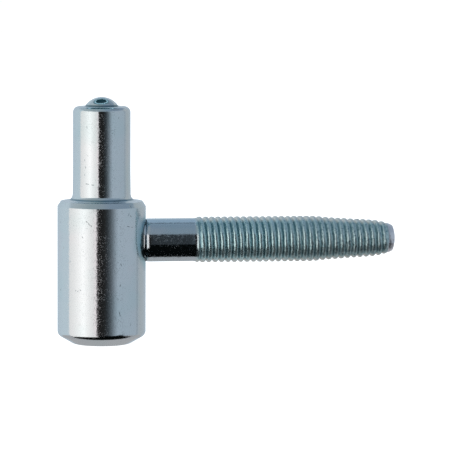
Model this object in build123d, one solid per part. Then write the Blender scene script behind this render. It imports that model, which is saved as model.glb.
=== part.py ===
"""Lower half of a lift-off hinge: a turned barrel with its hinge pin, a bearing ball and a screw-in stud.

Millimetres, +Z up. The origin is on the stud's axis where its full thread begins, which is the
face of the frame that the stud is screwed into. +X runs along the stud to its tip, and the
hinge pin points up.
"""
from build123d import *
from math import acos, ceil, cos, radians, sin, tan
import os

# Where the barrel stands: the stud's full thread begins this far from the barrel's axis,
# and the barrel's shoulder is this far above the stud's axis.
THREAD_START_FROM_AXIS = 21.9
SHOULDER_ABOVE_STUD = 9.0
BARREL_LENGTH = 32.4

# Barrel
BARREL_RADIUS = 10.0
BARREL_CHAMFER_WIDTH = 0.75
BARREL_CHAMFER_HEIGHT = 1.15
FOOT_CHAMFER_WIDTH = 3.6
FOOT_CHAMFER_ANGLE = 30.0
FOOT_UPPER_ROUND = 1.5
FOOT_LOWER_ROUND = 2.0

# Hinge pin, which stands on the barrel's flat shoulder with a concave root
PIN_RADIUS = 6.5
PIN_LENGTH = 21.4
PIN_ROOT_FILLET = 1.6
PIN_END_ROUND = 1.35

# Bearing ball, its drilled seat and the lip that is swaged over it, whose inside is a cone
# that comes nearest to the ball at this many degrees above the ball's middle
BALL_RADIUS = 4.5
BALL_STANDS_PROUD = 2.1
LIP_GAP = 0.03
LIP_NEAREST_BALL = 20.0
LIP_EDGE = 0.12
SEAT_DRILL_ANGLE = 118.0

# Fixing stud: spigot in the barrel's cross hole, chamfered shoulder on the spot face, shank and thread
SPIGOT_RADIUS = 4.3
SPIGOT_END_FROM_AXIS = -6.0
SPIGOT_END_CHAMFER = 0.5
SPOT_FACE_RADIUS = 5.2
SPOT_FACE_FROM_AXIS = 9.8
STUD_CHAMFER = 0.5
SHANK_RADIUS = 4.91
THREAD_RADIUS = 5.22
THREAD_RUN_IN = 0.5
THREAD_PARALLEL = 26.6

# Tapered end of the thread and the domed point, as distances from the start of the full thread and radii
TAPER_KNEE = (29.4, 4.94)
TAPER_END = (40.6, 4.21)
NOSE_RIM = (45.05, 2.95)
NOSE_SIDE_SAG = 0.29
TIP_X = 45.65

# An arc of an outline is turned as chords that stand at most this far off it, so that the mesh stays light
CHORD_SAG = 0.075

# A cutter runs this far out of the barrel's side
CUTTER_OVERRUN = 0.5

BARREL_X = -THREAD_START_FROM_AXIS
SHOULDER_Z = SHOULDER_ABOVE_STUD
FOOT_Z = SHOULDER_Z - BARREL_LENGTH
PIN_TOP_Z = SHOULDER_Z + PIN_LENGTH
BALL_CENTRE_Z = PIN_TOP_Z + BALL_STANDS_PROUD - BALL_RADIUS


def chords_along(edge):
    """Straight edges that follow an arc; a straight edge stays as it is."""
    if edge.geom_type == GeomType.LINE:
        return [edge]
    chord_turn = 2 * acos(1 - CHORD_SAG / edge.radius)
    count = ceil(edge.length / edge.radius / chord_turn)
    points = [edge @ (step / count) for step in range(count + 1)]
    return list(Polyline(*points, mode=Mode.PRIVATE).edges())


def turned(outline, axis):
    """Solid of revolution from the edges of a closed outline, which is drawn with true arcs."""
    chords = [chord for edge in outline for chord in chords_along(edge)]
    return revolve(Plane.XZ * make_face(chords), axis)


def foot_and_side():
    """From the axis along the foot, up its chamfer with both corners rounded, to the barrel's shoulder."""
    flat_radius = BARREL_RADIUS - FOOT_CHAMFER_WIDTH
    chamfer_top_z = FOOT_Z + FOOT_CHAMFER_WIDTH * tan(radians(FOOT_CHAMFER_ANGLE))
    with BuildLine() as line:
        FilletPolyline(
            (0, FOOT_Z),
            (flat_radius, FOOT_Z),
            (BARREL_RADIUS, chamfer_top_z),
            (BARREL_RADIUS, SHOULDER_Z - BARREL_CHAMFER_HEIGHT),
            radius=[FOOT_LOWER_ROUND, FOOT_UPPER_ROUND],
        )
    return line.edges()


def shoulder_and_pin():
    """Barrel's top chamfer, its flat shoulder, the pin's concave root, its side and its rounded end."""
    root_top = (PIN_RADIUS, SHOULDER_Z + PIN_ROOT_FILLET)
    with BuildLine() as line:
        shoulder = Polyline(
            (BARREL_RADIUS, SHOULDER_Z - BARREL_CHAMFER_HEIGHT),
            (BARREL_RADIUS - BARREL_CHAMFER_WIDTH, SHOULDER_Z),
            (PIN_RADIUS + PIN_ROOT_FILLET, SHOULDER_Z),
        )
        root = RadiusArc(shoulder @ 1, root_top, PIN_ROOT_FILLET)
        side = Line(root @ 1, (PIN_RADIUS, PIN_TOP_Z - PIN_END_ROUND))
        RadiusArc(side @ 1, (PIN_RADIUS - PIN_END_ROUND, PIN_TOP_Z), -PIN_END_ROUND)
    return line.edges()


def ball_seat():
    """Edge of the swaged lip, its inside, the drilled seat down to its point, and back to the foot."""
    socket_radius = BALL_RADIUS + LIP_GAP
    lean = radians(LIP_NEAREST_BALL)
    lip_z = PIN_TOP_Z - LIP_EDGE
    lip_radius = (socket_radius - (lip_z - BALL_CENTRE_Z) * sin(lean)) / cos(lean)
    lip_base_z = BALL_CENTRE_Z + socket_radius * tan(lean / 2)
    half_angle = radians(SEAT_DRILL_ANGLE / 2)
    drill_tip_z = BALL_CENTRE_Z - BALL_RADIUS / sin(half_angle)
    drill_rim_z = drill_tip_z + socket_radius / tan(half_angle)
    with BuildLine() as line:
        Polyline(
            (PIN_RADIUS - PIN_END_ROUND, PIN_TOP_Z),
            (lip_radius + LIP_EDGE, PIN_TOP_Z),
            (lip_radius, lip_z),
            (socket_radius, lip_base_z),
            (socket_radius, drill_rim_z),
            (0, drill_tip_z),
            (0, FOOT_Z),
        )
    return line.edges()


def cross_hole(radius, from_axis, to_axis):
    """Round cutter along the stud's axis between two distances from the barrel's axis."""
    length = to_axis - from_axis
    return Pos(BARREL_X + from_axis + length / 2, 0, 0) * Rot(0, 90, 0) * Cylinder(radius, length)


def make_hinge_body():
    """Barrel and pin turned in one piece, then cross drilled and spot faced for the stud."""
    outline = foot_and_side() + shoulder_and_pin() + ball_seat()
    body = Pos(BARREL_X, 0, 0) * turned(outline, Axis.Z)
    outside = BARREL_RADIUS + CUTTER_OVERRUN
    body -= cross_hole(SPIGOT_RADIUS, SPIGOT_END_FROM_AXIS, outside)
    body -= cross_hole(SPOT_FACE_RADIUS, SPOT_FACE_FROM_AXIS, outside)
    return body


def make_bearing_ball():
    """Hardened ball on the seat's drilled cone, standing proud of the pin's end."""
    return Pos(BARREL_X, 0, BALL_CENTRE_Z) * Sphere(BALL_RADIUS)


def make_threaded_stud():
    """Stud as its outer envelope: spigot, chamfered shoulder, shank, thread crests, taper and nose."""
    spigot_end_x = BARREL_X + SPIGOT_END_FROM_AXIS
    shoulder_x = BARREL_X + SPOT_FACE_FROM_AXIS
    nose_rim_x, nose_rim_radius = NOSE_RIM
    dome_height = TIP_X - nose_rim_x
    dome_radius = (nose_rim_radius**2 + dome_height**2) / (2 * dome_height)
    with BuildLine() as outline:
        Polyline(
            (spigot_end_x, 0),
            (spigot_end_x, SPIGOT_RADIUS - SPIGOT_END_CHAMFER),
            (spigot_end_x + SPIGOT_END_CHAMFER, SPIGOT_RADIUS),
            (shoulder_x, SPIGOT_RADIUS),
            (shoulder_x, SHANK_RADIUS - STUD_CHAMFER),
            (shoulder_x + STUD_CHAMFER, SHANK_RADIUS),
            (-THREAD_RUN_IN, SHANK_RADIUS),
            (0, THREAD_RADIUS),
            (THREAD_PARALLEL, THREAD_RADIUS),
            TAPER_KNEE,
            TAPER_END,
        )
        nose_side = SagittaArc(TAPER_END, NOSE_RIM, NOSE_SIDE_SAG)
        dome = RadiusArc(nose_side @ 1, (TIP_X, 0), dome_radius)
        Line(dome @ 1, (spigot_end_x, 0))
    return turned(outline.edges(), Axis.X)


os.makedirs("parts", exist_ok=True)
export_step(make_hinge_body(), "parts/hinge_body.step")
export_step(make_bearing_ball(), "parts/bearing_ball.step")
export_step(make_threaded_stud(), "parts/threaded_stud.step")
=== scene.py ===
"""Lower half of a screw-in lift-off hinge: its dressed pieces, and the studio that it is shown in.

Every Blender object is in metres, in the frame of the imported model: the origin is on the stud's
axis where its thread begins, +X runs to the stud's tip and +Z up along the hinge pin. Sizes are
written in millimetres, as on a drawing, and are scaled where a mesh is made.
"""
import logging
import math
from dataclasses import dataclass, field
from enum import Enum
from typing import Callable, ClassVar, Mapping, Optional, Sequence, Union

import bmesh
import bpy
from mathutils import Matrix, Vector


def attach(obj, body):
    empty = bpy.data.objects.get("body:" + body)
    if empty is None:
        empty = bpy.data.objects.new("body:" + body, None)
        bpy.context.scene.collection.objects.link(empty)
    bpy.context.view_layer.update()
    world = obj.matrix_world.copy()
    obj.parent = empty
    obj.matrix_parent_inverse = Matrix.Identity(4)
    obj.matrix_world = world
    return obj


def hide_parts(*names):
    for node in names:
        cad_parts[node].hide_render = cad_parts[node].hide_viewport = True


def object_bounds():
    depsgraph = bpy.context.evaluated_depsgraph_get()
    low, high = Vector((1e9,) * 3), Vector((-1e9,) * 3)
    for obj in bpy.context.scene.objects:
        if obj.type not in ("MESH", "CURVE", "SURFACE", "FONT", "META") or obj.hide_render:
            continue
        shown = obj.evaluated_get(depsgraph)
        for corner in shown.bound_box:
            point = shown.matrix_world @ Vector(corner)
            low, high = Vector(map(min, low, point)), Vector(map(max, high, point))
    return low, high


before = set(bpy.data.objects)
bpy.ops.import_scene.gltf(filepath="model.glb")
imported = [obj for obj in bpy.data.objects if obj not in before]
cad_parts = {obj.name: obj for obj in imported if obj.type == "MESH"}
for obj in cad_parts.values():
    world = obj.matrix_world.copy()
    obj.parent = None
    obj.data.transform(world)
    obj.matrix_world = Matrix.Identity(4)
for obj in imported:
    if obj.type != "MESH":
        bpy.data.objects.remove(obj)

LOG = logging.getLogger("lift_off_hinge")
MM = 0.001
CAD_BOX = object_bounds()
BODY = "root"

# Share of the light that the bright plate gives back: a panel is given by how it looks in the plate
PLATE_MIRRORS = 0.82

# An edge that turns by more degrees than this is shaded sharp
SHARP = 38.0

Colour = tuple[float, float, float]
Point = tuple[float, float]
Span = tuple[float, float]
Ring = list[bmesh.types.BMVert]


def grey(level: float) -> float:
    """Linear light of a grey level from 0 to 255, as a picture shows it."""
    share = level / 255
    return share / 12.92 if share <= 0.04045 else ((share + 0.055) / 1.055) ** 2.4


def opaque(colour: Colour) -> tuple[float, float, float, float]:
    """Colour with full alpha, as Blender's colour sockets take it."""
    return (*colour, 1.0)


def arithmetic(operation: str, reflected: bool = False) -> Callable[["Value", "Number"], "Value"]:
    """Operator that adds a Math node.

    Args:
        operation: The node's operation.
        reflected: Whether the plain number stands first.

    Returns:
        The operator, as a method of a value.
    """

    def operate(this: "Value", other: "Number") -> "Value":
        """Wire both numbers to the node."""
        pair = (other, this) if reflected else (this, other)
        return this.sheet.math(operation, *pair)

    return operate


class Value:
    """A number on a wire of a node tree. Arithmetic on it adds Math nodes."""

    __add__, __radd__ = arithmetic("ADD"), arithmetic("ADD", reflected=True)
    __sub__, __rsub__ = arithmetic("SUBTRACT"), arithmetic("SUBTRACT", reflected=True)
    __mul__, __rmul__ = arithmetic("MULTIPLY"), arithmetic("MULTIPLY", reflected=True)
    __truediv__, __rtruediv__ = arithmetic("DIVIDE"), arithmetic("DIVIDE", reflected=True)

    def __init__(self, sheet: "Sheet", socket: bpy.types.NodeSocket) -> None:
        """Wrap one output socket."""
        self.sheet = sheet
        self.socket = socket


Number = Union[Value, float]
Wire = Union[Value, bpy.types.NodeSocket]
Layer = tuple[Number, Colour]
Sizes = Mapping[str, Value]


class Sheet:
    """A node tree while it is being drawn."""

    def __init__(self, tree: bpy.types.NodeTree) -> None:
        """Start on a tree and take out what it came with."""
        self.tree = tree
        tree.nodes.clear()

    def node(
        self,
        kind: str,
        sockets: Optional[Mapping[Union[str, int], object]] = None,
        **settings: object,
    ) -> bpy.types.Node:
        """Add a node.

        Args:
            kind: The node's type.
            sockets: What each input holds or is wired to, by name or number.
            settings: Its own settings, which are set first. "stops" are a ramp's positions and
                colours, and "curve" is a float curve's points.

        Returns:
            The new node.
        """
        made = self.tree.nodes.new(kind)
        for name, value in settings.items():
            if name == "stops":
                self._set_stops(made.color_ramp, value)
            elif name == "curve":
                self._set_curve(made.mapping, value)
            else:
                setattr(made, name, value)
        for key, value in (sockets or {}).items():
            self.feed(made.inputs[key], value)
        return made

    def feed(self, socket: bpy.types.NodeSocket, value: object) -> None:
        """Wire a socket, or set it where the value is a plain one."""
        if isinstance(value, Value):
            self.tree.links.new(value.socket, socket)
        elif isinstance(value, bpy.types.NodeSocket):
            self.tree.links.new(value, socket)
        else:
            socket.default_value = value

    @staticmethod
    def _set_stops(ramp: bpy.types.ColorRamp, stops: Sequence[tuple[float, Colour]]) -> None:
        """Give a colour ramp its stops."""
        while len(ramp.elements) > 1:
            ramp.elements.remove(ramp.elements[-1])
        ramp.elements[0].position = stops[0][0]
        ramp.elements[0].color = opaque(stops[0][1])
        for position, colour in stops[1:]:
            ramp.elements.new(position).color = opaque(colour)

    @staticmethod
    def _set_curve(mapping: bpy.types.CurveMapping, points: Sequence[Point]) -> None:
        """Give a float curve its points."""
        curve = mapping.curves[0]
        curve.points[0].location = points[0]
        curve.points[1].location = points[-1]
        for along, height in points[1:-1]:
            curve.points.new(along, height)
        mapping.update()

    def math(self, operation: str, *values: Number) -> Value:
        """Math node on one to three values."""
        sockets = dict(enumerate(values))
        made = self.node("ShaderNodeMath", sockets, operation=operation)
        return Value(self, made.outputs[0])

    def rise(self, value: Number, low: Number, high: Number) -> Value:
        """Smooth step from 0 at the low value to 1 at the high one."""
        sockets = {"Value": value, "From Min": low, "From Max": high}
        made = self.node("ShaderNodeMapRange", sockets, interpolation_type="SMOOTHSTEP")
        return Value(self, made.outputs[0])

    def within(self, value: Value, low: float, high: float, soft: float) -> Value:
        """1 between two values and 0 outside them, with soft ends."""
        half = soft / 2
        risen = self.rise(value, low - half, low + half)
        return risen * (1 - self.rise(value, high - half, high + half))

    def colour_mix(self, share: Number, first: object, second: object) -> bpy.types.NodeSocket:
        """Blend of two colours."""
        made = self.node("ShaderNodeMix", {0: share, 6: first, 7: second}, data_type="RGBA")
        return made.outputs[2]

    def layered(self, colour: object, layers: Sequence[Layer]) -> bpy.types.NodeSocket:
        """Colours laid over one another, each by its share."""
        for share, over in layers:
            colour = self.colour_mix(share, colour, opaque(over))
        return colour

    def number_mix(self, share: Number, first: Number, second: Number) -> Value:
        """Blend of two numbers."""
        made = self.node("ShaderNodeMix", {0: share, 2: first, 3: second}, data_type="FLOAT")
        return Value(self, made.outputs[0])

    def vector(self, operation: str, sockets: Mapping[int, object]) -> bpy.types.NodeSocket:
        """Vector Math node's vector."""
        made = self.node("ShaderNodeVectorMath", sockets, operation=operation)
        return made.outputs["Vector"]

    def measure(self, operation: str, sockets: Mapping[int, object]) -> Value:
        """Vector Math node's number."""
        made = self.node("ShaderNodeVectorMath", sockets, operation=operation)
        return Value(self, made.outputs["Value"])

    def noise(self, place: Wire, scale: float, detail: float, seed: Number) -> Value:
        """Smooth noise from about 0 to 1 at a place, with a fixed seed."""
        sockets = {"Vector": place, "W": seed, "Scale": scale, "Detail": detail}
        made = self.node("ShaderNodeTexNoise", sockets, noise_dimensions="4D")
        return Value(self, made.outputs[0])

    def split(self, place: Wire) -> tuple[Value, ...]:
        """The three coordinates of a place."""
        spot = self.node("ShaderNodeSeparateXYZ", {0: place})
        return tuple(Value(self, socket) for socket in spot.outputs)

    def joined(self, x: Number, y: Number, z: Number = 0.0) -> bpy.types.NodeSocket:
        """Place with three coordinates."""
        return self.node("ShaderNodeCombineXYZ", {0: x, 1: y, 2: z}).outputs[0]

    def show(self, shader: bpy.types.Node, kind: str = "ShaderNodeOutputMaterial") -> None:
        """Wire a shader to the tree's output."""
        self.node(kind, {"Surface": shader.outputs[0]})


class Coat(Sheet):
    """A new material's node tree, with where each place of the piece is, in millimetres."""

    def __init__(self, name: str) -> None:
        """Start the material and measure along the stud, across it, up and away from its axis."""
        self.material = bpy.data.materials.new(name)
        self.material.use_nodes = True
        super().__init__(self.material.node_tree)
        coords = self.node("ShaderNodeTexCoord")
        self.place, self.lap = coords.outputs["Object"], coords.outputs["UV"]
        self.along, self.across, self.height = (part / MM for part in self.split(self.place))
        self.away = self.math("SQRT", self.across * self.across + self.height * self.height)


@dataclass(frozen=True)
class Corner:
    """A corner of a turned piece's half section, in millimetres."""

    along: float
    radius: float
    rounding: float = 0.0


@dataclass
class Outline:
    """Half section of a turned piece, as points of a distance along its axis and a radius.

    Sizes are in millimetres. An arc's step is in degrees.
    """

    corners: Sequence[Corner]
    arc_step: float = 6.0
    longest: float = 1.2

    def points(self) -> list[Point]:
        """The section's points.

        Returns:
            Points from the first corner to the last, with each rounded corner as an arc and each
            long straight divided.
        """
        traced: list[Point] = []
        for index, corner in enumerate(self.corners):
            here = Vector((corner.along, corner.radius))
            if corner.rounding:
                before, after = self.corners[index - 1], self.corners[index + 1]
                away = Vector((before.along, before.radius)) - here
                ahead = Vector((after.along, after.radius)) - here
                traced += self._arc(here, away.normalized(), ahead.normalized(), corner.rounding)
            else:
                traced.append(tuple(here))
        return self._divided(traced)

    def _arc(self, corner: Vector, away: Vector, ahead: Vector, rounding: float) -> list[Point]:
        """Points of the round that is tangent to both sides of a corner."""
        half = math.acos(max(-1.0, min(1.0, away.dot(ahead)))) / 2
        centre = corner + (away + ahead).normalized() * (rounding / math.sin(half))
        start = corner + away * (rounding / math.tan(half)) - centre
        turn = math.pi - 2 * half
        if start.x * away.y - start.y * away.x > 0:
            turn = -turn
        steps = max(2, math.ceil(math.degrees(abs(turn)) / self.arc_step))
        turned = (Matrix.Rotation(turn * step / steps, 2) @ start for step in range(steps + 1))
        return [tuple(centre + spoke) for spoke in turned]

    def _divided(self, points: Sequence[Point]) -> list[Point]:
        """The same line, with no straight longer than the longest that is allowed."""
        line = [points[0]]
        for start, end in zip(points, points[1:]):
            pieces = max(1, math.ceil(math.dist(start, end) / self.longest))
            steps = range(1, pieces + 1)
            line += [tuple(Vector(start).lerp(Vector(end), step / pieces)) for step in steps]
        return line


class Lathe:
    """Turns half sections about an axis into closed or open skins."""

    on_axis: ClassVar[float] = 1e-6

    def __init__(self, axis: Matrix, sides: int) -> None:
        """Set the axis, whose own Z is the axis of turning, and how many sides a ring has."""
        self.axis = axis
        self.sides = sides

    def _ring(self, skin: bmesh.types.BMesh, along: float, radius: float) -> Ring:
        """A ring of vertices, or one vertex on the axis."""
        if radius < self.on_axis:
            return [skin.verts.new(self.axis @ Vector((0, 0, along)) * MM)]
        spokes = (math.tau * side / self.sides for side in range(self.sides))
        around = (Vector((radius * math.cos(a), radius * math.sin(a), along)) for a in spokes)
        return [skin.verts.new(self.axis @ place * MM) for place in around]

    def turn(self, points: Sequence[Point]) -> bmesh.types.BMesh:
        """Turn a half section.

        Args:
            points: Its points, as (distance along the axis, radius) in millimetres.

        Returns:
            A mesh in metres, with a map of the way round and the way along its section.
        """
        skin = bmesh.new()
        lap = skin.loops.layers.uv.new("skin")
        rings = [self._ring(skin, *point) for point in points]
        reach = 0.0
        for index in range(len(points) - 1):
            step = math.dist(points[index], points[index + 1])
            self._band(skin, lap, rings[index], rings[index + 1], (reach, reach + step))
            reach += step
        bmesh.ops.recalc_face_normals(skin, faces=skin.faces)
        return skin

    def _band(
        self,
        skin: bmesh.types.BMesh,
        lap: bmesh.types.BMLayerItem,
        first: Ring,
        second: Ring,
        reach: Span,
    ) -> None:
        """Faces between two rings, or a ring and a point."""
        for side in range(self.sides):
            after = (side + 1) % self.sides
            corners = [(first[side % len(first)], side, reach[0])]
            if len(first) > 1:
                corners.append((first[after], side + 1, reach[0]))
            corners.append((second[after % len(second)], side + 1, reach[1]))
            if len(second) > 1:
                corners.append((second[side], side, reach[1]))
            face = skin.faces.new([vertex for vertex, _, _ in corners])
            for loop, (_, turn, height) in zip(face.loops, corners):
                loop[lap].uv = (turn / self.sides, height * MM)


def finished_mesh(skin: bmesh.types.BMesh, name: str, sharp: float = SHARP) -> bpy.types.Mesh:
    """Mesh from a skin, smooth but for edges sharper than an angle in degrees."""
    mesh = bpy.data.meshes.new(name)
    skin.to_mesh(mesh)
    skin.free()
    mesh.shade_smooth()
    mesh.set_sharp_from_angle(angle=math.radians(sharp))
    return mesh


def placed(name: str, mesh: bpy.types.Mesh) -> bpy.types.Object:
    """Object at the origin that shows a mesh."""
    piece = bpy.data.objects.new(name, mesh)
    bpy.context.scene.collection.objects.link(piece)
    return piece


def evaluated_copy(piece: bpy.types.Object) -> bpy.types.Mesh:
    """Plain mesh of an object with its modifiers applied."""
    graph = bpy.context.evaluated_depsgraph_get()
    graph.update()
    return bpy.data.meshes.new_from_object(piece.evaluated_get(graph), depsgraph=graph)


@dataclass(frozen=True)
class Nick:
    """A dent or scratch on the barrel or pin, in millimetres and degrees.

    Its place is given as the photograph shows it: how far right of the barrel's axis, and how high.
    The radius is that of the round side which it is in.
    """

    right: float
    height: float
    length: float
    width: float
    lean: float = 0.0
    radius: float = 10.0
    depth: float = 0.03


@dataclass(frozen=True)
class Grain:
    """Fixed unevenness: the size of its features in millimetres, its detail and its seed."""

    size: float
    detail: float
    seed: float

    def level(self, coat: Coat) -> Value:
        """Its level at each place, from about 0 to 1."""
        return coat.noise(coat.place, 1 / (self.size * MM), self.detail, self.seed)


@dataclass(frozen=True)
class Blotches(Grain):
    """Where a grain lies high, by its levels at a blotch's rim and inside it."""

    rim: float
    inside: float

    def share(self, coat: Coat) -> Value:
        """1 inside the blotches and 0 between them."""
        return coat.rise(self.level(coat), self.rim, self.inside)


@dataclass(frozen=True)
class RolledStretch:
    """Stretch of the stud where rolling has left the plate duller.

    The plate is teal, with painted shade in the grooves and a painted highlight along the top and
    the bottom. The start, the wear and the nose are where they begin and where they are full,
    along the stud in millimetres. The groove and the pale strips are levels of how deep and how
    steep the skin lies, for the painted shade and the painted highlight. The other pairs are for a
    fresh thread and a worn one.
    """

    start: Span = (-1.0, -0.2)
    worn: Span = (10.0, 32.0)
    nose: Span = (43.6, 43.9)
    # groove depths where the painted shade in the grooves begins and is full
    groove: Span = (0.35, 0.9)
    # steepness where the painted highlight along the top and the bottom begins and is full
    pale: Span = (0.80, 0.97)
    roughness: Span = (0.20, 0.33)
    metallic: Span = (0.94, 0.975)
    grain: Span = (3.0, 8.0)
    groove_shade: Span = (0.8, 0.4)
    mottled: Span = (0.5, 0.95)
    mottle: Blotches = Blotches(0.42, 2.0, 9.3, 0.47, 0.68)
    cover: float = 0.9
    own_roughness: float = 0.5
    colour: Colour = (0.62, 0.85, 0.87)
    worn_colour: Colour = (0.57, 0.75, 0.77)
    # colour of the painted highlight along the top and the bottom
    painted_sheen_colour: Colour = (0.86, 0.84, 0.78)
    # colour of the painted shade in the grooves, and of the random mottle
    groove_shade_and_mottle_colour: Colour = (0.14, 0.32, 0.37)
    nose_colour: Colour = (0.92, 0.91, 0.97)

    def share(self, coat: Coat) -> Value:
        """1 along the rolled stretch and 0 before it."""
        return coat.rise(coat.along, *self.start)

    def wear(self, coat: Coat, ends: Span = (0.0, 1.0)) -> Value:
        """Number that goes from the first end's, where fresh, to the second's, where worn."""
        return coat.number_mix(coat.rise(coat.along, *self.worn), *ends)

    def tinted(self, coat: Coat) -> bpy.types.NodeSocket:
        """Colour round the stretch."""
        steep = coat.math("ABSOLUTE", coat.height / coat.away)
        turn = coat.math("ARCTAN2", coat.height, coat.across) / math.tau
        phase = coat.math("FRACT", (coat.along - Thread.crest_at) / Thread.pitch - turn)
        groove = coat.rise(1 - coat.math("ABSOLUTE", phase * 2 - 1), *self.groove)
        layers = (
            (self.wear(coat), self.worn_colour),
            # painted shade in the grooves
            (groove * self.wear(coat, self.groove_shade), self.groove_shade_and_mottle_colour),
            (self.mottle.share(coat) * self.wear(coat, self.mottled), self.groove_shade_and_mottle_colour),
            # painted highlight along the stud's top and bottom, where the skin is steep
            (coat.rise(steep, *self.pale), self.painted_sheen_colour),
            (coat.rise(coat.along, *self.nose), self.nose_colour),
        )
        return coat.layered(opaque(self.colour), layers)


@dataclass(frozen=True)
class StudReflectionAndSeamShade:
    """Painted reflection of the stud, teal, on the barrel round its joint, and painted shade in its
    seam.

    The reach and the seam are distances from the stud's axis in millimetres, where each fades,
    and the ragged ones are how far those wander.
    """

    reach: Span = (5.2, 8.4)
    seam: Span = (5.35, 5.55)
    ragged: float = 1.6
    seam_ragged: float = 0.16
    unevenness: Grain = Grain(2.0, 2.0, 2.5)
    colour: Colour = (0.34, 0.57, 0.62)
    seam_shade_colour: Colour = (0.08, 0.14, 0.15)

    def layers(self, coat: Coat) -> tuple[Layer, ...]:
        """Its layers of painted reflection and painted shade, on the stud's side of the barrel."""
        uneven = self.unevenness.level(coat) - 0.5
        side = coat.math("GREATER_THAN", coat.along, Barrel.x)
        # painted reflection of the stud on the barrel
        stud_reflection = 1 - coat.rise(coat.away + uneven * self.ragged, *self.reach)
        # painted shade in the seam round the stud
        seam = 1 - coat.rise(coat.away + uneven * self.seam_ragged, *self.seam)
        return (stud_reflection * side, self.colour), (seam * side, self.seam_shade_colour)


@dataclass(frozen=True)
class PaintedShadeLine:
    """Painted shade: a dark line of colour between two heights, in millimetres."""

    low: float
    high: float
    soft: float = 0.3
    colour: Colour = (0.20, 0.30, 0.34)

    def layers(self, coat: Coat) -> tuple[Layer, ...]:
        """Its layer of painted shade."""
        # painted shade between the two heights
        cover = coat.within(coat.height, self.low, self.high, self.soft)
        return ((cover, self.colour),)


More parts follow.
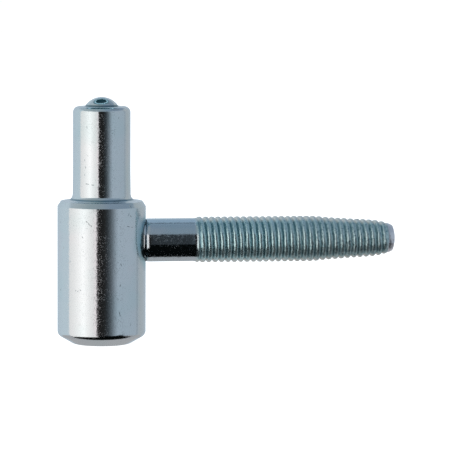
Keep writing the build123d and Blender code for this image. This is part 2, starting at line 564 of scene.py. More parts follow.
@dataclass(frozen=True)
class ZincPlate:
    """Bright zinc plate with a thin blue passivation, and what handling in a box has done to it.

    Sizes are in millimetres. The grain is fine unevenness all over, the rash is where the plate is
    rough between smooth spots, and the specks are pits. A scratch run is a seed and a lean in
    radians, and its shape is how much the way round and the way along are drawn out.
    """

    name: str
    colour: Colour = (0.79, 0.835, 0.865)
    teal: Colour = (0.66, 0.80, 0.82)
    rose: Colour = (0.84, 0.79, 0.83)
    pit_colour: Colour = (0.30, 0.34, 0.36)
    teal_clouds: Blotches = Blotches(9.0, 2.0, 1.3, 0.45, 0.75)
    rose_clouds: Blotches = Blotches(9.0 / 1.4, 2.0, 7.1, 0.52, 0.80)
    cloud_share: float = 0.5
    roughness: float = 0.085
    grain: Grain = Grain(0.42, 1.5, 2.2)
    grain_depth: float = 0.010
    rash: Blotches = Blotches(0.24, 1.0, 6.4, 0.50, 0.66)
    rash_patches: Blotches = Blotches(0.24 * 14, 2.0, 8.8, 0.35, 0.60)
    rash_between: float = 0.45
    rash_roughness: float = 0.27
    specks: Grain = Grain(0.30, 2.0, 3.7)
    speck_patches: Grain = Grain(0.30 * 9, 2.0, 5.2)
    speck_gathering: float = 0.35
    speck_levels: Span = (0.68, 0.78)
    speck_depth: float = 0.006
    speck_darkening: float = 0.45
    scratch_runs: Sequence[Span] = ((2.0, 0.35), (9.0, -0.9))
    scratch_shape: tuple[float, float, float] = (60, 1000, 1)
    scratch_scale: float = 5.0
    scratch_levels: Span = (0.70, 0.80)
    scratch_depth: float = 0.0015
    scratch_roughness: float = 0.10
    nicks: Sequence[Nick] = ()
    nick_rim: float = 0.25
    nick_darkening: float = 0.6
    rolled: Optional[RolledStretch] = None
    # layers of painted reflection and painted shade
    painted_light: Sequence[Union[StudReflectionAndSeamShade, PaintedShadeLine]] = ()

    def material(self) -> bpy.types.Material:
        """Material of this finish."""
        coat = Coat(self.name)
        specks, scratches, dents = self._specks(coat), self._scratches(coat), self._dents(coat)
        coarse: Number = self.grain_depth
        metallic: Number = 1.0
        rough = self.roughness + self._rash(coat) * self.rash_roughness
        rough = rough + scratches * self.scratch_roughness
        if self.rolled:
            wear, share = self.rolled.wear, self.rolled.share(coat)
            duller = rough * self.rolled.own_roughness + wear(coat, self.rolled.roughness)
            coarser = wear(coat, self.rolled.grain) * self.grain_depth
            coarse = coat.number_mix(share, coarse, coarser)
            rough = coat.number_mix(share, rough, duller)
            metallic = coat.number_mix(share, metallic, wear(coat, self.rolled.metallic))
        height = self.grain.level(coat) * coarse
        height = height - specks * self.speck_depth - scratches * self.scratch_depth - dents
        # darker in the pits and the dents
        darkening = specks * self.speck_darkening + dents / Nick.depth * self.nick_darkening
        bump = coat.node("ShaderNodeBump", {"Strength": 1.0, "Distance": MM, "Height": height})
        coat.show(
            coat.node(
                "ShaderNodeBsdfPrincipled",
                {
                    "Base Color": self._tinted(coat, coat.math("MINIMUM", darkening, 1.0)),
                    "Roughness": rough,
                    "Metallic": metallic,
                    "Normal": bump.outputs[0],
                },
            )
        )
        return coat.material

    def _tinted(self, coat: Coat, darkening: Number) -> bpy.types.NodeSocket:
        """Plate colour with its faint teal and rose clouds, darker in the pits and the dents."""
        teal = self.teal_clouds.share(coat) * self.cloud_share
        rose = self.rose_clouds.share(coat) * self.cloud_share
        colour = coat.layered(opaque(self.colour), ((teal, self.teal), (rose, self.rose)))
        if self.rolled:
            cover = self.rolled.share(coat) * self.rolled.cover
            colour = coat.colour_mix(cover, colour, self.rolled.tinted(coat))
        # painted reflection and painted shade, layer over layer
        for shading in self.painted_light:
            colour = coat.layered(colour, shading.layers(coat))
        return coat.layered(colour, ((darkening, self.pit_colour),))

    def _rash(self, coat: Coat) -> Value:
        """Where the plate is rough, from 0 to 1."""
        patched = coat.number_mix(self.rash_patches.share(coat), self.rash_between, 1.0)
        return self.rash.share(coat) * patched

    def _specks(self, coat: Coat) -> Value:
        """Pits, from 0 to 1."""
        gathered = (self.speck_patches.level(coat) - 0.5) * self.speck_gathering
        return coat.rise(self.specks.level(coat) + gathered, *self.speck_levels)

    def _scratches(self, coat: Coat) -> Value:
        """Fine scratches that lean both ways, from 0 to 1."""
        total: Number = 0.0
        for seed, lean in self.scratch_runs:
            turned = coat.node(
                "ShaderNodeMapping",
                {"Vector": coat.lap, "Rotation": (0, 0, lean), "Scale": self.scratch_shape},
                vector_type="POINT",
            )
            streak = coat.noise(turned.outputs[0], self.scratch_scale, 1.0, seed)
            total = coat.rise(streak, *self.scratch_levels) + total
        return coat.math("MINIMUM", total, 1.0)

    def _dents(self, coat: Coat) -> Number:
        """Depth of the dents in millimetres."""
        total: Number = 0.0
        for nick in self.nicks:
            total = self._dent(coat, nick) * nick.depth + total
        return total

    def _dent(self, coat: Coat, nick: Nick) -> Value:
        """1 in the middle of a dent and 0 outside it."""
        angle = math.radians(PhotoCamera.swing - 90) + math.asin(nick.right / nick.radius)
        spoke = Vector((math.cos(angle), math.sin(angle), 0)) * nick.radius
        local = coat.node(
            "ShaderNodeMapping",
            {
                "Vector": coat.place,
                "Location": (Vector((Barrel.x, 0, nick.height)) + spoke) * MM,
                "Rotation": (math.radians(nick.lean), 0, angle),
                "Scale": (MM, nick.width * MM / 2, nick.length * MM / 2),
            },
            vector_type="TEXTURE",
        )
        return 1 - coat.rise(coat.measure("LENGTH", {0: local.outputs[0]}), self.nick_rim, 1.0)


class Barrel:
    """Where the barrel stands, in millimetres."""

    x: float = -21.9
    shoulder: float = 9.0
    foot: float = -23.4


@dataclass
class HingeBody:
    """Barrel and hinge pin, turned from one bar and drilled for the stud and the ball.

    Sizes are in millimetres and angles in degrees. A nick's row is how far right and how high it
    is, its length, its width and its lean.
    """

    barrel_radius: float = 10.0
    shoulder_chamfer_width: float = 0.75
    shoulder_chamfer_height: float = 1.15
    root_fillet: float = 1.6
    root_swell: float = 0.1
    swell_height: float = 6.5
    foot_chamfer_width: float = 3.6
    foot_chamfer_angle: float = 30.0
    foot_upper_round: float = 1.5
    foot_lower_round: float = 2.0
    pin_radius: float = 6.5
    pin_top: float = 30.4
    pin_end_round: float = 1.35
    lip_gap: float = 0.03
    lip_nearest_ball: float = 20.0
    lip_edge: float = 0.12
    lip_edge_round: float = 0.04
    seat_angle: float = 118.0
    spigot_radius: float = 4.3
    spigot_depth: float = 6.0
    spot_face_radius: float = 5.2
    spot_face_from_axis: float = 9.8
    shoulder_break: float = 0.25
    shoulder_rim_break: float = 0.06
    swell_round: float = 20.0
    cutter_overrun: float = 1.0
    sides: int = 256
    cutter_sides: int = 128
    barrel_nicks: Sequence[Sequence[float]] = (
        (-9.0, 4.4, 1.0, 0.3, 20),
        (-8.3, -1.2, 0.9, 0.3, -15),
        (-9.1, -10.8, 0.6, 0.5, 0),
        (-2.9, 5.0, 0.8, 0.26, 35),
        (-2.4, 4.5, 1.0, 0.26, 35),
        (-1.9, 4.1, 0.7, 0.26, 30),
        (-3.9, 1.5, 0.8, 0.28, 30),
        (-6.8, -4.2, 0.9, 0.26, -20),
        (-5.5, -10.6, 0.7, 0.26, -60),
        (-5.0, -10.7, 0.7, 0.26, -50),
        (-4.4, -10.4, 0.8, 0.26, 60),
        (-7.2, -13.9, 0.8, 0.26, 15),
        (6.4, 6.5, 1.2, 0.30, -30),
        (6.8, 6.1, 0.8, 0.26, 40),
        (6.3, 3.8, 1.3, 0.22, 80),
        (7.1, 3.6, 0.9, 0.22, 85),
        (4.7, -4.7, 0.8, 0.28, 20),
        (4.4, -15.8, 1.7, 0.26, 15),
        (4.5, -9.4, 0.8, 0.24, -30),
        (6.8, -18.4, 0.9, 0.34, -25),
        (6.9, 8.3, 1.2, 0.5, 20),
    )
    pin_nicks: Sequence[Sequence[float]] = (
        (-3.1, 25.9, 0.9, 0.26, 10),
        (2.0, 25.6, 0.8, 0.24, -10),
        (-3.6, 18.5, 0.9, 0.26, 5),
        (-3.4, 16.9, 0.8, 0.26, -8),
        (-3.6, 15.2, 0.8, 0.26, 12),
        (-4.7, 16.8, 0.6, 0.26, 0),
        (-3.0, 13.2, 1.6, 0.20, 80),
        (-1.7, 13.0, 1.2, 0.20, 88),
        (4.0, 28.0, 0.8, 0.28, -25),
    )

    def seat(self, ball: "BearingBall") -> list[Corner]:
        """Inside of the swaged lip and the drilled seat under it, down to its point.

        Args:
            ball: What they hold.

        Returns:
            Corners from the lip's edge on the pin's end to the drill's point.
        """
        socket = ball.radius + self.lip_gap
        lean = math.radians(self.lip_nearest_ball)
        half_angle = math.radians(self.seat_angle / 2)
        lip_height = self.pin_top - self.lip_edge
        lip_radius = (socket - (lip_height - ball.centre) * math.sin(lean)) / math.cos(lean)
        point = ball.centre - ball.radius / math.sin(half_angle)
        return [
            Corner(self.pin_top, lip_radius + self.lip_edge, self.lip_edge_round),
            Corner(lip_height, lip_radius),
            Corner(ball.centre + socket * math.tan(lean / 2), socket),
            Corner(point + socket / math.tan(half_angle), socket),
            Corner(point, 0.0),
        ]

    def outline(self) -> Outline:
        """Half section from the foot's middle up to the bottom of the ball's seat."""
        side, flat = self.barrel_radius, self.barrel_radius - self.foot_chamfer_width
        rise = self.foot_chamfer_width * math.tan(math.radians(self.foot_chamfer_angle))
        foot, shoulder = Barrel.foot, Barrel.shoulder
        shoulder_rim = side - self.shoulder_chamfer_width
        root = self.pin_radius + self.root_swell
        return Outline(
            (
                Corner(foot, 0.0),
                Corner(foot, flat, self.foot_lower_round),
                Corner(foot + rise, side, self.foot_upper_round),
                Corner(shoulder - self.shoulder_chamfer_height, side, self.shoulder_break),
                Corner(shoulder, shoulder_rim, self.shoulder_rim_break),
                Corner(shoulder, root, self.root_fillet),
                Corner(shoulder + self.swell_height, self.pin_radius, self.swell_round),
                Corner(self.pin_top, self.pin_radius, self.pin_end_round),
                *self.seat(BearingBall()),
            )
        )

    def build(self) -> bpy.types.Object:
        """Turn the body and drill its cross hole and spot face."""
        lathe = Lathe(Matrix.Translation((Barrel.x, 0, 0)), self.sides)
        skin = lathe.turn(self.outline().points())
        body = placed("hinge_body_plated", finished_mesh(skin, "hinge_body"))
        across = self.barrel_radius + self.cutter_overrun
        self._drill(body, self.spigot_radius, -self.spigot_depth, across)
        self._drill(body, self.spot_face_radius, self.spot_face_from_axis, across)
        body.data.set_sharp_from_angle(angle=math.radians(SHARP))
        return body

    def _drill(self, body: bpy.types.Object, radius: float, start: float, end: float) -> None:
        """Cut a round hole along the stud's axis, between two distances from the barrel's axis."""
        axis = Matrix.Translation((Barrel.x, 0, 0)) @ Matrix.Rotation(math.pi / 2, 4, "Y")
        ends = ((start, 0), (start, radius), (end, radius), (end, 0))
        plug = Outline([Corner(*end) for end in ends])
        skin = Lathe(axis, self.cutter_sides).turn(plug.points())
        cutter = placed("drill", finished_mesh(skin, "drill"))
        cut = body.modifiers.new("drill", "BOOLEAN")
        cut.operation, cut.object, cut.solver = "DIFFERENCE", cutter, "EXACT"
        body.data = evaluated_copy(body)
        body.modifiers.clear()
        bpy.data.objects.remove(cutter)

    def dress(self, body: bpy.types.Object) -> None:
        """Plate the body and let it stand for its solid."""
        finish = ZincPlate(
            "plated_body",
            # painted shade in the crease where the pin rises from the barrel's shoulder, over a
            # painted reflection of the stud
            painted_light=(StudReflectionAndSeamShade(), PaintedShadeLine(9.26, 9.62, 0.15, (0.27, 0.38, 0.44))),
            nicks=(
                *(Nick(*row) for row in self.barrel_nicks),
                *(Nick(*row, radius=self.pin_radius) for row in self.pin_nicks),
            ),
        )
        body.data.materials.clear()
        body.data.materials.append(finish.material())
        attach(body, BODY)
        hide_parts("hinge_body")


@dataclass
class BearingBall:
    """Hardened ball in the end of the pin, in millimetres."""

    radius: float = 4.5
    centre: float = 28.0
    around: int = 128
    rows: int = 64

    def build(self) -> bpy.types.Object:
        """Grind the ball."""
        skin = bmesh.new()
        place = Matrix.Translation(Vector((Barrel.x, 0, self.centre)) * MM)
        bmesh.ops.create_uvsphere(
            skin,
            u_segments=self.around,
            v_segments=self.rows,
            radius=self.radius * MM,
            matrix=place,
            calc_uvs=True,
        )
        return placed("bearing_ball_plated", finished_mesh(skin, "bearing_ball"))

    def dress(self, ball: bpy.types.Object) -> None:
        """Plate the ball and let it stand for its solid."""
        finish = ZincPlate(
            "plated_ball",
            colour=(0.88, 0.89, 0.90),
            rash_roughness=0.12,
            # painted shade on the ball where it sinks into the pin's lip
            painted_light=(PaintedShadeLine(28.0, 30.75),),
        )
        ball.data.materials.append(finish.material())
        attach(ball, BODY)
        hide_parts("bearing_ball")


@dataclass
class Thread:
    """Rolled right-hand thread that fades in from the shank and runs out over the tapered nose.

    Knocks have battered its crests, more of it towards the tip. Sizes are in millimetres, the
    crests are points of a distance along the stud and a radius, and the spans are distances along
    the stud, but for the batter's levels. A scale is 1 over the size of a noise's features.
    """

    pitch: float = 1.458
    depth: float = 0.54
    crest_share: float = 0.26
    flank_power: float = 1.5
    crest_at: float = 0.08
    fade_in: Span = (-0.9, 0.9)
    fade_out: Span = (41.8, 44.8)
    start: float = -1.6
    rim: float = 45.05
    tip: float = 45.65
    rim_radius: float = 2.95
    samples: int = 14
    sides: int = 128
    weld: float = 0.0002
    batter: float = 0.10
    batter_scale: float = 1.3
    batter_levels: Span = (0.45, 0.75)
    batter_from: Span = (0.0, 2.0)
    batter_grows: Span = (12.0, 34.0)
    batter_least: float = 0.35
    waver: float = 0.5
    waver_scale: float = 0.5
    noise_radius: float = 5.0
    seed: float = 4.0
    crests: Sequence[Point] = (
        (-1.6, 4.91),
        (-0.9, 4.91),
        (0.1, 5.20),
        (3.0, 5.22),
        (24.0, 5.22),
        (27.0, 5.17),
        (29.4, 4.94),
        (34.6, 4.58),
        (40.2, 4.22),
        (42.3, 3.92),
        (43.9, 3.45),
        (45.05, 2.95),
    )

    def build(self) -> bpy.types.Mesh:
        """Wind the thread.

        Returns:
            The threaded skin with its domed end, open at its start.
        """
        group = bpy.data.node_groups.new("rolled_thread", "GeometryNodeTree")
        sizes = self._sizes()
        names: dict[str, str] = {}
        for name, value in sizes.items():
            kind = "NodeSocketInt" if isinstance(value, int) else "NodeSocketFloat"
            made = group.interface.new_socket(name=name, in_out="INPUT", socket_type=kind)
            names[name] = made.identifier
        group.interface.new_socket(name="Mesh", in_out="OUTPUT", socket_type="NodeSocketGeometry")
        self._draw(Sheet(group))
        carrier = placed("thread_blank", bpy.data.meshes.new("thread_blank"))
        winding = carrier.modifiers.new("thread", "NODES")
        winding.node_group = group
        for name, value in sizes.items():
            winding[names[name]] = value
        wound = evaluated_copy(carrier)
        carrier.modifiers.clear()
        bpy.data.objects.remove(carrier)
        return wound

    def _sizes(self) -> dict[str, Union[int, float]]:
        """The tree's named inputs."""
        dome = self.dome_radius()
        end = self.rim + dome * math.asin(self.rim_radius / dome)
        return {
            "Turns": math.ceil((end - self.start) / self.pitch) + 1,
            "Samples": self.samples,
            "Sides": self.sides,
            "Pitch": self.pitch,
            "Depth": self.depth,
            "Crest": self.crest_at,
            "Weld": self.weld,
            "Start": self.start,
            "Rim": self.rim,
            "End": end,
            "Dome": dome,
            "Batter": self.batter,
            "Waver": self.waver,
            "Seed": self.seed,
        }

    def dome_radius(self) -> float:
        """Radius of the domed end, from its rim and its height."""
        height = self.tip - self.rim
        return (self.rim_radius**2 + height**2) / (2 * height)

    def _draw(self, sheet: Sheet) -> None:
        """Draw the tree: a grid that is sheared along the helix, wrapped and welded."""
        inputs = sheet.node("NodeGroupInput")
        size = {socket.name: Value(sheet, socket) for socket in inputs.outputs if socket.name}
        turns, pitch, start = size["Turns"], size["Pitch"], size["Start"]
        grid = sheet.node(
            "GeometryNodeMeshGrid",
            {
                "Size X": 1.0,
                "Size Y": 1.0,
                "Vertices X": turns * size["Samples"] + 1,
                "Vertices Y": size["Sides"] + 1,
            },
        )
        spot = sheet.split(sheet.node("GeometryNodeInputPosition").outputs[0])
        row, lap = spot[0] + 0.5, spot[1] + 0.5
        helix = start - pitch + pitch * turns * row
        along = sheet.math("MAXIMUM", helix + pitch * lap, start)
        along = sheet.math("MINIMUM", along, size["End"])
        angle = lap * math.tau
        spun, rolled = sheet.math("COSINE", angle), sheet.math("SINE", angle)
        around = sheet.joined(along, spun * self.noise_radius, rolled * self.noise_radius)
        uneven = sheet.noise(around, self.waver_scale, 3.0, size["Seed"]) - 0.5
        groove = self._groove(sheet, size, helix + uneven * size["Waver"], along)
        radius = self._crest_radius(sheet, along) - groove
        radius = radius - self._battering(sheet, size, around, along)
        swing = sheet.math("MAXIMUM", (size["End"] - along) / size["Dome"], 0.0)
        on_dome = sheet.math("GREATER_THAN", along, size["Rim"])
        dome_along = self.tip - size["Dome"] + size["Dome"] * sheet.math("COSINE", swing)
        along = sheet.number_mix(on_dome, along, dome_along)
        radius = sheet.number_mix(on_dome, radius, size["Dome"] * sheet.math("SINE", swing))
        place = sheet.joined(along, radius * spun, radius * rolled)
        wrapped = sheet.node(
            "GeometryNodeSetPosition",
            {
                "Geometry": grid.outputs[0],
                "Position": sheet.vector("SCALE", {0: place, "Scale": MM}),
            },
        )
        lapped = sheet.node(
            "GeometryNodeStoreNamedAttribute",
            {
                "Geometry": wrapped.outputs[0],
                "Name": "skin",
                "Value": sheet.joined(lap, along * MM),
            },
            data_type="FLOAT2",
            domain="CORNER",
        )
        welded = sheet.node(
            "GeometryNodeMergeByDistance",
            {"Geometry": lapped.outputs[0], "Distance": size["Weld"] * MM},
        )
        plain = sheet.node("GeometryNodeRealizeInstances", {"Geometry": welded.outputs[0]})
        coated = sheet.node("GeometryNodeSetMaterial", {"Geometry": plain.outputs[0]})
        sheet.node("NodeGroupOutput", {0: coated.outputs[0]})

    def _crest_radius(self, sheet: Sheet, along: Value) -> Value:
        """Radius over the crests at a place along the stud."""
        first, last = self.crests[0][0], self.crests[-1][0]
        highest = max(radius for _, radius in self.crests)
        points = [((x - first) / (last - first), radius / highest) for x, radius in self.crests]
        share = (along - first) / (last - first)
        curve = sheet.node("ShaderNodeFloatCurve", {"Value": share}, curve=points)
        return Value(sheet, curve.outputs[0]) * highest

    def _groove(self, sheet: Sheet, size: Sizes, helix: Value, along: Value) -> Value:
        """Depth of the groove below the crests at a place."""
        phase = sheet.math("FRACT", (helix - size["Crest"]) / size["Pitch"])
        from_crest = 1 - sheet.math("ABSOLUTE", phase * 2 - 1)
        flank = sheet.math("MAXIMUM", from_crest - self.crest_share, 0.0) / (1 - self.crest_share)
        cut = sheet.math("POWER", flank, self.flank_power) * size["Depth"]
        return cut * sheet.rise(along, *self.fade_in) * (1 - sheet.rise(along, *self.fade_out))

    def _battering(self, sheet: Sheet, size: Sizes, around: Wire, along: Value) -> Value:
        """What knocks have taken off the crests."""
        knocks = sheet.noise(around, self.batter_scale, 3.0, size["Seed"])
        amount = sheet.rise(knocks, *self.batter_levels) * size["Batter"]
        growth = sheet.number_mix(sheet.rise(along, *self.batter_grows), self.batter_least, 1.0)
        return amount * growth * sheet.rise(along, *self.batter_from)


@dataclass
class ThreadedStud:
    """Fixing stud: a spigot in the barrel, a chamfered shoulder, a plain shank and the thread.

    Sizes are in millimetres, and the ends are distances along the stud. An edge that turns by
    more degrees than the sharp angle is shaded sharp.
    """

    spigot_end: float = -27.9
    spigot_radius: float = 4.3
    spigot_chamfer: float = 0.5
    shoulder_end: float = -11.82
    collar: Sequence[Corner] = (
        Corner(-13.05, 4.30),
        Corner(-12.95, 4.60),
        Corner(-12.66, 4.72, 0.7),
        Corner(-12.32, 4.70),
        Corner(-12.28, 4.56),
        Corner(-12.18, 4.56),
        Corner(-12.12, 4.72),
    )
    shank_radius: float = 4.91
    shoulder_round: float = 2.2
    longest_straight: float = 0.6
    weld: float = 0.002
    sliver: float = 0.0005
    sharp: float = 50.0
    thread: Thread = field(default_factory=Thread)

    def outline(self) -> Outline:
        """Half section from the spigot's end to the start of the thread."""
        return Outline(
            (
                Corner(self.spigot_end, 0.0),
                Corner(self.spigot_end, self.spigot_radius - self.spigot_chamfer),
                Corner(self.spigot_end + self.spigot_chamfer, self.spigot_radius),
                *self.collar,
                Corner(self.shoulder_end, self.shank_radius, self.shoulder_round),
                Corner(self.thread.start, self.shank_radius),
            ),
            longest=self.longest_straight,
        )

    def build(self) -> bpy.types.Object:
        """Turn the plain end, wind the thread and weld them."""
        axis = Matrix(((0, 0, 1, 0), (1, 0, 0, 0), (0, 1, 0, 0), (0, 0, 0, 1)))
        skin = Lathe(axis, self.thread.sides).turn(self.outline().points())
        wound = self.thread.build()
        skin.from_mesh(wound)
        bpy.data.meshes.remove(wound)
        bmesh.ops.remove_doubles(skin, verts=skin.verts, dist=self.weld * MM)
        bmesh.ops.dissolve_degenerate(skin, dist=self.sliver * MM, edges=skin.edges)
        bmesh.ops.recalc_face_normals(skin, faces=skin.faces)
        open_edges = sum(not edge.is_manifold for edge in skin.edges)
        LOG.info("the stud's skin has %d open edges", open_edges)
        return placed("threaded_stud_plated", finished_mesh(skin, "threaded_stud", self.sharp))

    def dress(self, stud: bpy.types.Object) -> None:
        """Plate the stud and let it stand for its solid."""
        finish = ZincPlate(
            "plated_stud",
            colour=(0.70, 0.79, 0.84),
            teal=(0.60, 0.76, 0.80),
            roughness=0.10,
            rolled=RolledStretch(),
        )
        stud.data.materials.clear()
        stud.data.materials.append(finish.material())
        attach(stud, BODY)
        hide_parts("threaded_stud")


@dataclass
class PhotoCamera:
    """Camera of the photograph: a long lens, a little above the hinge and a little to its left.

    Its angles are in degrees and its lengths in millimetres.
    """

    swing: ClassVar[float] = -8.7
    pitch: float = 4.9
    roll: float = 0.25
    distance: float = 700.0
    lens: float = 246.0
    sensor: float = 36.0
    aim_right: float = -0.536
    aim_up: float = -1.296

    @classmethod
    def sight(cls) -> tuple[Vector, Vector]:
        """Level unit vectors towards the camera and to the picture's right."""
        turn = math.radians(cls.swing)
        right = Vector((math.cos(turn), math.sin(turn), 0))
        return Vector((right.y, -right.x, 0)), right

    def place(self) -> None:
        """Set the camera up and make it the scene's."""
        low, high = (Vector(corner) for corner in CAD_BOX)
        towards, right = self.sight()
        rise = math.radians(self.pitch)
        back = towards * math.cos(rise) + Vector((0, 0, math.sin(rise)))
        up = back.cross(right).normalized()
        aim = (low + high) / 2 + (right * self.aim_right + up * self.aim_up) * MM
        turned = Matrix((right, up, back)).transposed().to_4x4()
        spot = Matrix.Translation(aim + back * self.distance * MM)
        data = bpy.data.cameras.new("photo_camera")
        data.lens, data.sensor_width, data.sensor_fit = self.lens, self.sensor, "HORIZONTAL"
        data.clip_start, data.clip_end = 0.01, 20.0
        camera = placed("photo_camera", data)
        camera.matrix_world = spot @ turned @ Matrix.Rotation(math.radians(self.roll), 4, "Z")
        bpy.context.scene.camera = camera


class Sweep(Enum):
    """How a studio panel's reach is measured, in degrees."""

    AROUND = "round the table from the camera, and up from its level"
    OVER = "from the camera over the top, and out to either side"


@dataclass(frozen=True)
class Tone:
    """Grey level that the plate shows at a place, such as an angle, and its tint."""

    at: float
    level: float
    tint: Colour


def run(tint: Colour, *levels: Point) -> tuple[Tone, ...]:
    """Tones of one tint, from pairs of a place and a grey level."""
    return tuple(Tone(at, level, tint) for at, level in levels)


def toned(sheet: Sheet, tones: Sequence[Tone], at: Value) -> object:
    """Colour that follows some tones.

    Args:
        sheet: Tree to draw in.
        tones: Grey levels that the plate shows, and where.
        at: Where to look.

    Returns:
        The light that gives those levels once the plate mirrors it.
    """
    lights = [
        tuple(grey(tone.level) / PLATE_MIRRORS * part for part in tone.tint)
        for tone in tones
    ]
    if len(tones) == 1:
        return opaque(lights[0])
    low, high = tones[0].at, tones[-1].at
    brightest = max(max(light) for light in lights)
    stops = [
        ((tone.at - low) / (high - low), tuple(part / brightest for part in light))
        for tone, light in zip(tones, lights)
    ]
    ramp = sheet.node("ShaderNodeValToRGB", {0: (at - low) / (high - low)}, stops=stops)
    return sheet.vector("SCALE", {0: ramp.outputs[0], "Scale": brightest})


PLAIN: Colour = (1.0, 1.0, 1.0)
WALL: Colour = (0.85, 1.0, 1.14)
CLOTH: Colour = (0.62, 1.0, 1.18)
DEEP: Colour = (0.25, 1.0, 1.4)
BLUE: Colour = (0.76, 1.0, 1.26)
NEUTRAL: Colour = (1.04, 1.0, 0.97)
ROSE: Colour = (1.14, 1.0, 1.0)
TABLE: Colour = (1.0, 1.0, 1.02)
EDGE: Colour = (0.7, 1.0, 1.0)


@dataclass(frozen=True)
class Panel:
    """A soft light, a dark flag or a stretch of wall that the metal reflects.

    Its reach is in degrees: round the table or over the top for the first range, up or sideways
    for the second. Its tones follow the first.
    """

    name: str
    sweep: Sweep
    first: Span
    second: Span
    tones: Sequence[Tone]
    soft: float = 3.0
    soft_second: float = 4.0


@dataclass(frozen=True)
class Flag:
    """Round dark flag that hangs over the ball, where only the plate mirrors it.

    Its place is a distance from the ball in millimetres and two angles, over the top and sideways.
    Its tones run from its middle, 0, to its edge, 1.
    """

    distance: float = 30.0
    over: float = 102.0
    sideways: float = -2.5
    radius: float = 16.5
    sides: int = 64
    tones: Sequence[Tone] = (
        *run(DEEP, (0.0, 50), (0.64, 46)),
        *run(CLOTH, (0.70, 205), (0.76, 205)),
        Tone(0.82, 88, DEEP),
        *run(CLOTH, (0.90, 104), (1.0, 132)),
    )

    def hang(self) -> None:
        """Hang it, facing the ball."""
        towards, right = PhotoCamera.sight()
        over, sideways = math.radians(self.over), math.radians(self.sideways)
        level = towards * math.cos(over) + Vector((0, 0, math.sin(over)))
        way = level * math.cos(sideways) + right * math.sin(sideways)
        centre = (Vector((Barrel.x, 0, BearingBall.centre)) + way * self.distance) * MM
        skin = bmesh.new()
        bmesh.ops.create_circle(skin, cap_ends=True, segments=self.sides, radius=self.radius * MM)
        turn = (-way).to_track_quat("Z", "Y").to_matrix().to_4x4()
        bmesh.ops.transform(skin, matrix=Matrix.Translation(centre) @ turn, verts=skin.verts)
        flag = placed("flag", finished_mesh(skin, "flag"))
        flag.data.materials.append(self._material(centre))
        for rays in ("camera", "diffuse", "transmission", "volume_scatter", "shadow"):
            setattr(flag, f"visible_{rays}", False)

    def _material(self, centre: Vector) -> bpy.types.Material:
        """Glow in rings round a centre."""
        coat = Coat("flag")
        away = coat.measure("DISTANCE", {0: coat.place, 1: centre}) / (self.radius * MM)
        coat.show(coat.node("ShaderNodeEmission", {"Color": toned(coat, self.tones, away)}))
        return coat.material


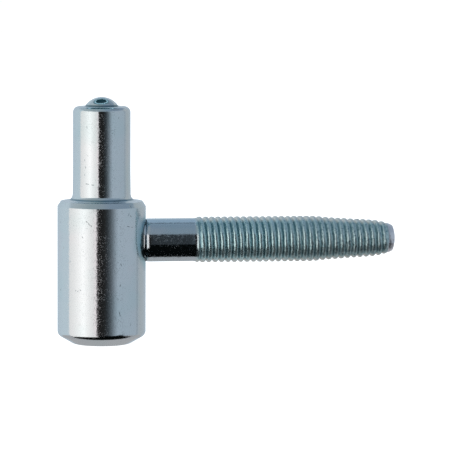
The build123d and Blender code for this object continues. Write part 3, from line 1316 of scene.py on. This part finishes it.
@dataclass
class Studio:
    """Plain pale studio: what the metal reflects, a white surround and a white floor.

    The white is the surround's strength, and the floor's half width is in millimetres.
    """

    white: float = 1.02
    floor_half_width: float = 3000.0
    flag: Flag = Flag()
    walls: Sequence[Tone] = (
        Tone(-180, 178, WALL),
        *run((0.86, 1.0, 1.08), (-115, 192), (-80, 192)),
        *run(WALL, (0, 150), (50, 165), (100, 162)),
        Tone(125, 165, (0.93, 1.0, 1.04)),
        Tone(180, 176, WALL),
    )
    panels: Sequence[Panel] = (
        Panel(
            "ceiling",
            Sweep.AROUND,
            (-200, 200),
            (35, 110),
            (
                Tone(-180, 160, BLUE),
                Tone(-120, 172, (0.85, 1.0, 1.10)),
                Tone(-80, 163, (0.88, 1.0, 1.05)),
                Tone(-45, 149, (0.86, 1.0, 1.07)),
                Tone(0, 140, (0.85, 1.0, 1.12)),
                *run(BLUE, (35, 132), (92, 132), (150, 136), (163, 156), (180, 160)),
            ),
            4,
            6,
        ),
        Panel("seam overhead", Sweep.OVER, (104, 109), (1, 40), run(BLUE, (0, 66)), 2, 2),
        Panel("table behind", Sweep.AROUND, (-200, 200), (-110, -24), run(TABLE, (0, 158)), 3, 6),
        Panel("table edge", Sweep.OVER, (-101, -18), (-57, 58), run(EDGE, (0, 7)), 3, 14),
        Panel(
            "soft light at left",
            Sweep.AROUND,
            (-92, -10),
            (-38, 30),
            (
                *run(NEUTRAL, (-90, 217), (-74, 227), (-60, 240), (-46, 253)),
                *run(NEUTRAL, (-38, 243), (-30, 232), (-21, 221)),
                Tone(-10, 214, ROSE),
            ),
            3,
            6,
        ),
        Panel(
            "camera side",
            Sweep.AROUND,
            (-10.3, 44),
            (-19, 34),
            (
                *run(ROSE, (-10, 44), (-4, 30)),
                *run(PLAIN, (3, 28), (10, 34)),
                *run(WALL, (17, 48), (22, 68), (27, 90), (33, 118), (38, 143), (44, 158)),
            ),
            2,
            6,
        ),
        Panel("seam at right", Sweep.AROUND, (107, 111), (-60, 60), run(WALL, (0, 141)), 4),
    )

    def build(self) -> None:
        """Light the scene, whiten what lies behind the object and lay the floor."""
        world = bpy.data.worlds.new("studio")
        bpy.context.scene.world = world
        world.use_nodes = True
        sheet = Sheet(world.node_tree)
        reflected = sheet.node("ShaderNodeBackground", {"Color": self._surroundings(sheet)})
        lit = {"Color": opaque(PLAIN), "Strength": self.white}
        surround = sheet.node("ShaderNodeBackground", lit)
        seen = sheet.node("ShaderNodeLightPath").outputs["Is Camera Ray"]
        both = {0: seen, 1: reflected.outputs[0], 2: surround.outputs[0]}
        sheet.show(sheet.node("ShaderNodeMixShader", both), "ShaderNodeOutputWorld")
        bpy.context.scene.view_settings.view_transform = "Standard"
        self.flag.hang()
        self._floor()

    def _surroundings(self, sheet: Sheet) -> bpy.types.NodeSocket:
        """Colour of the surroundings in each direction, panel over panel."""
        way = sheet.node("ShaderNodeTexCoord").outputs["Generated"]
        towards, right = PhotoCamera.sight()
        front = sheet.measure("DOT_PRODUCT", {0: way, 1: towards})
        side = sheet.measure("DOT_PRODUCT", {0: way, 1: right})
        height = sheet.measure("DOT_PRODUCT", {0: way, 1: (0, 0, 1)})
        reach = {
            sweep: (
                sheet.math("DEGREES", sheet.math("ARCTAN2", swept, front)),
                sheet.math("DEGREES", sheet.math("ARCSINE", tilted)),
            )
            for sweep, swept, tilted in ((Sweep.AROUND, side, height), (Sweep.OVER, height, side))
        }
        colour: object = toned(sheet, self.walls, reach[Sweep.AROUND][0])
        for panel in self.panels:
            first, second = reach[panel.sweep]
            cover = sheet.within(first, *panel.first, panel.soft)
            cover = cover * sheet.within(second, *panel.second, panel.soft_second)
            colour = sheet.colour_mix(cover, colour, toned(sheet, panel.tones, first))
            LOG.debug("hung the %s", panel.name)
        return colour

    def _floor(self) -> None:
        """White floor under the foot, which the plate doesn't mirror."""
        skin = bmesh.new()
        half = self.floor_half_width * MM
        bmesh.ops.create_grid(skin, x_segments=1, y_segments=1, size=half)
        bmesh.ops.translate(skin, vec=(0, 0, CAD_BOX[0][2]), verts=skin.verts)
        floor = placed("floor", finished_mesh(skin, "floor"))
        coat = Coat("floor_white")
        coat.show(
            coat.node(
                "ShaderNodeBsdfPrincipled",
                {
                    "Base Color": opaque((0.9, 0.9, 0.9)),
                    "Roughness": 0.9,
                    "Emission Color": opaque(PLAIN),
                    "Emission Strength": 1.0,
                },
            )
        )
        floor.data.materials.append(coat.material)
        floor.visible_glossy = False


def main() -> None:
    """Build each piece in order, dress it and report it."""
    logging.basicConfig(level=logging.INFO, format="%(message)s")
    PhotoCamera().place()
    Studio().build()
    for maker in (HingeBody(), BearingBall(), ThreadedStud()):
        piece = maker.build()
        maker.dress(piece)
        LOG.info("%s: %d faces", piece.name, len(piece.data.polygons))


if __name__ == "__main__":
    main()
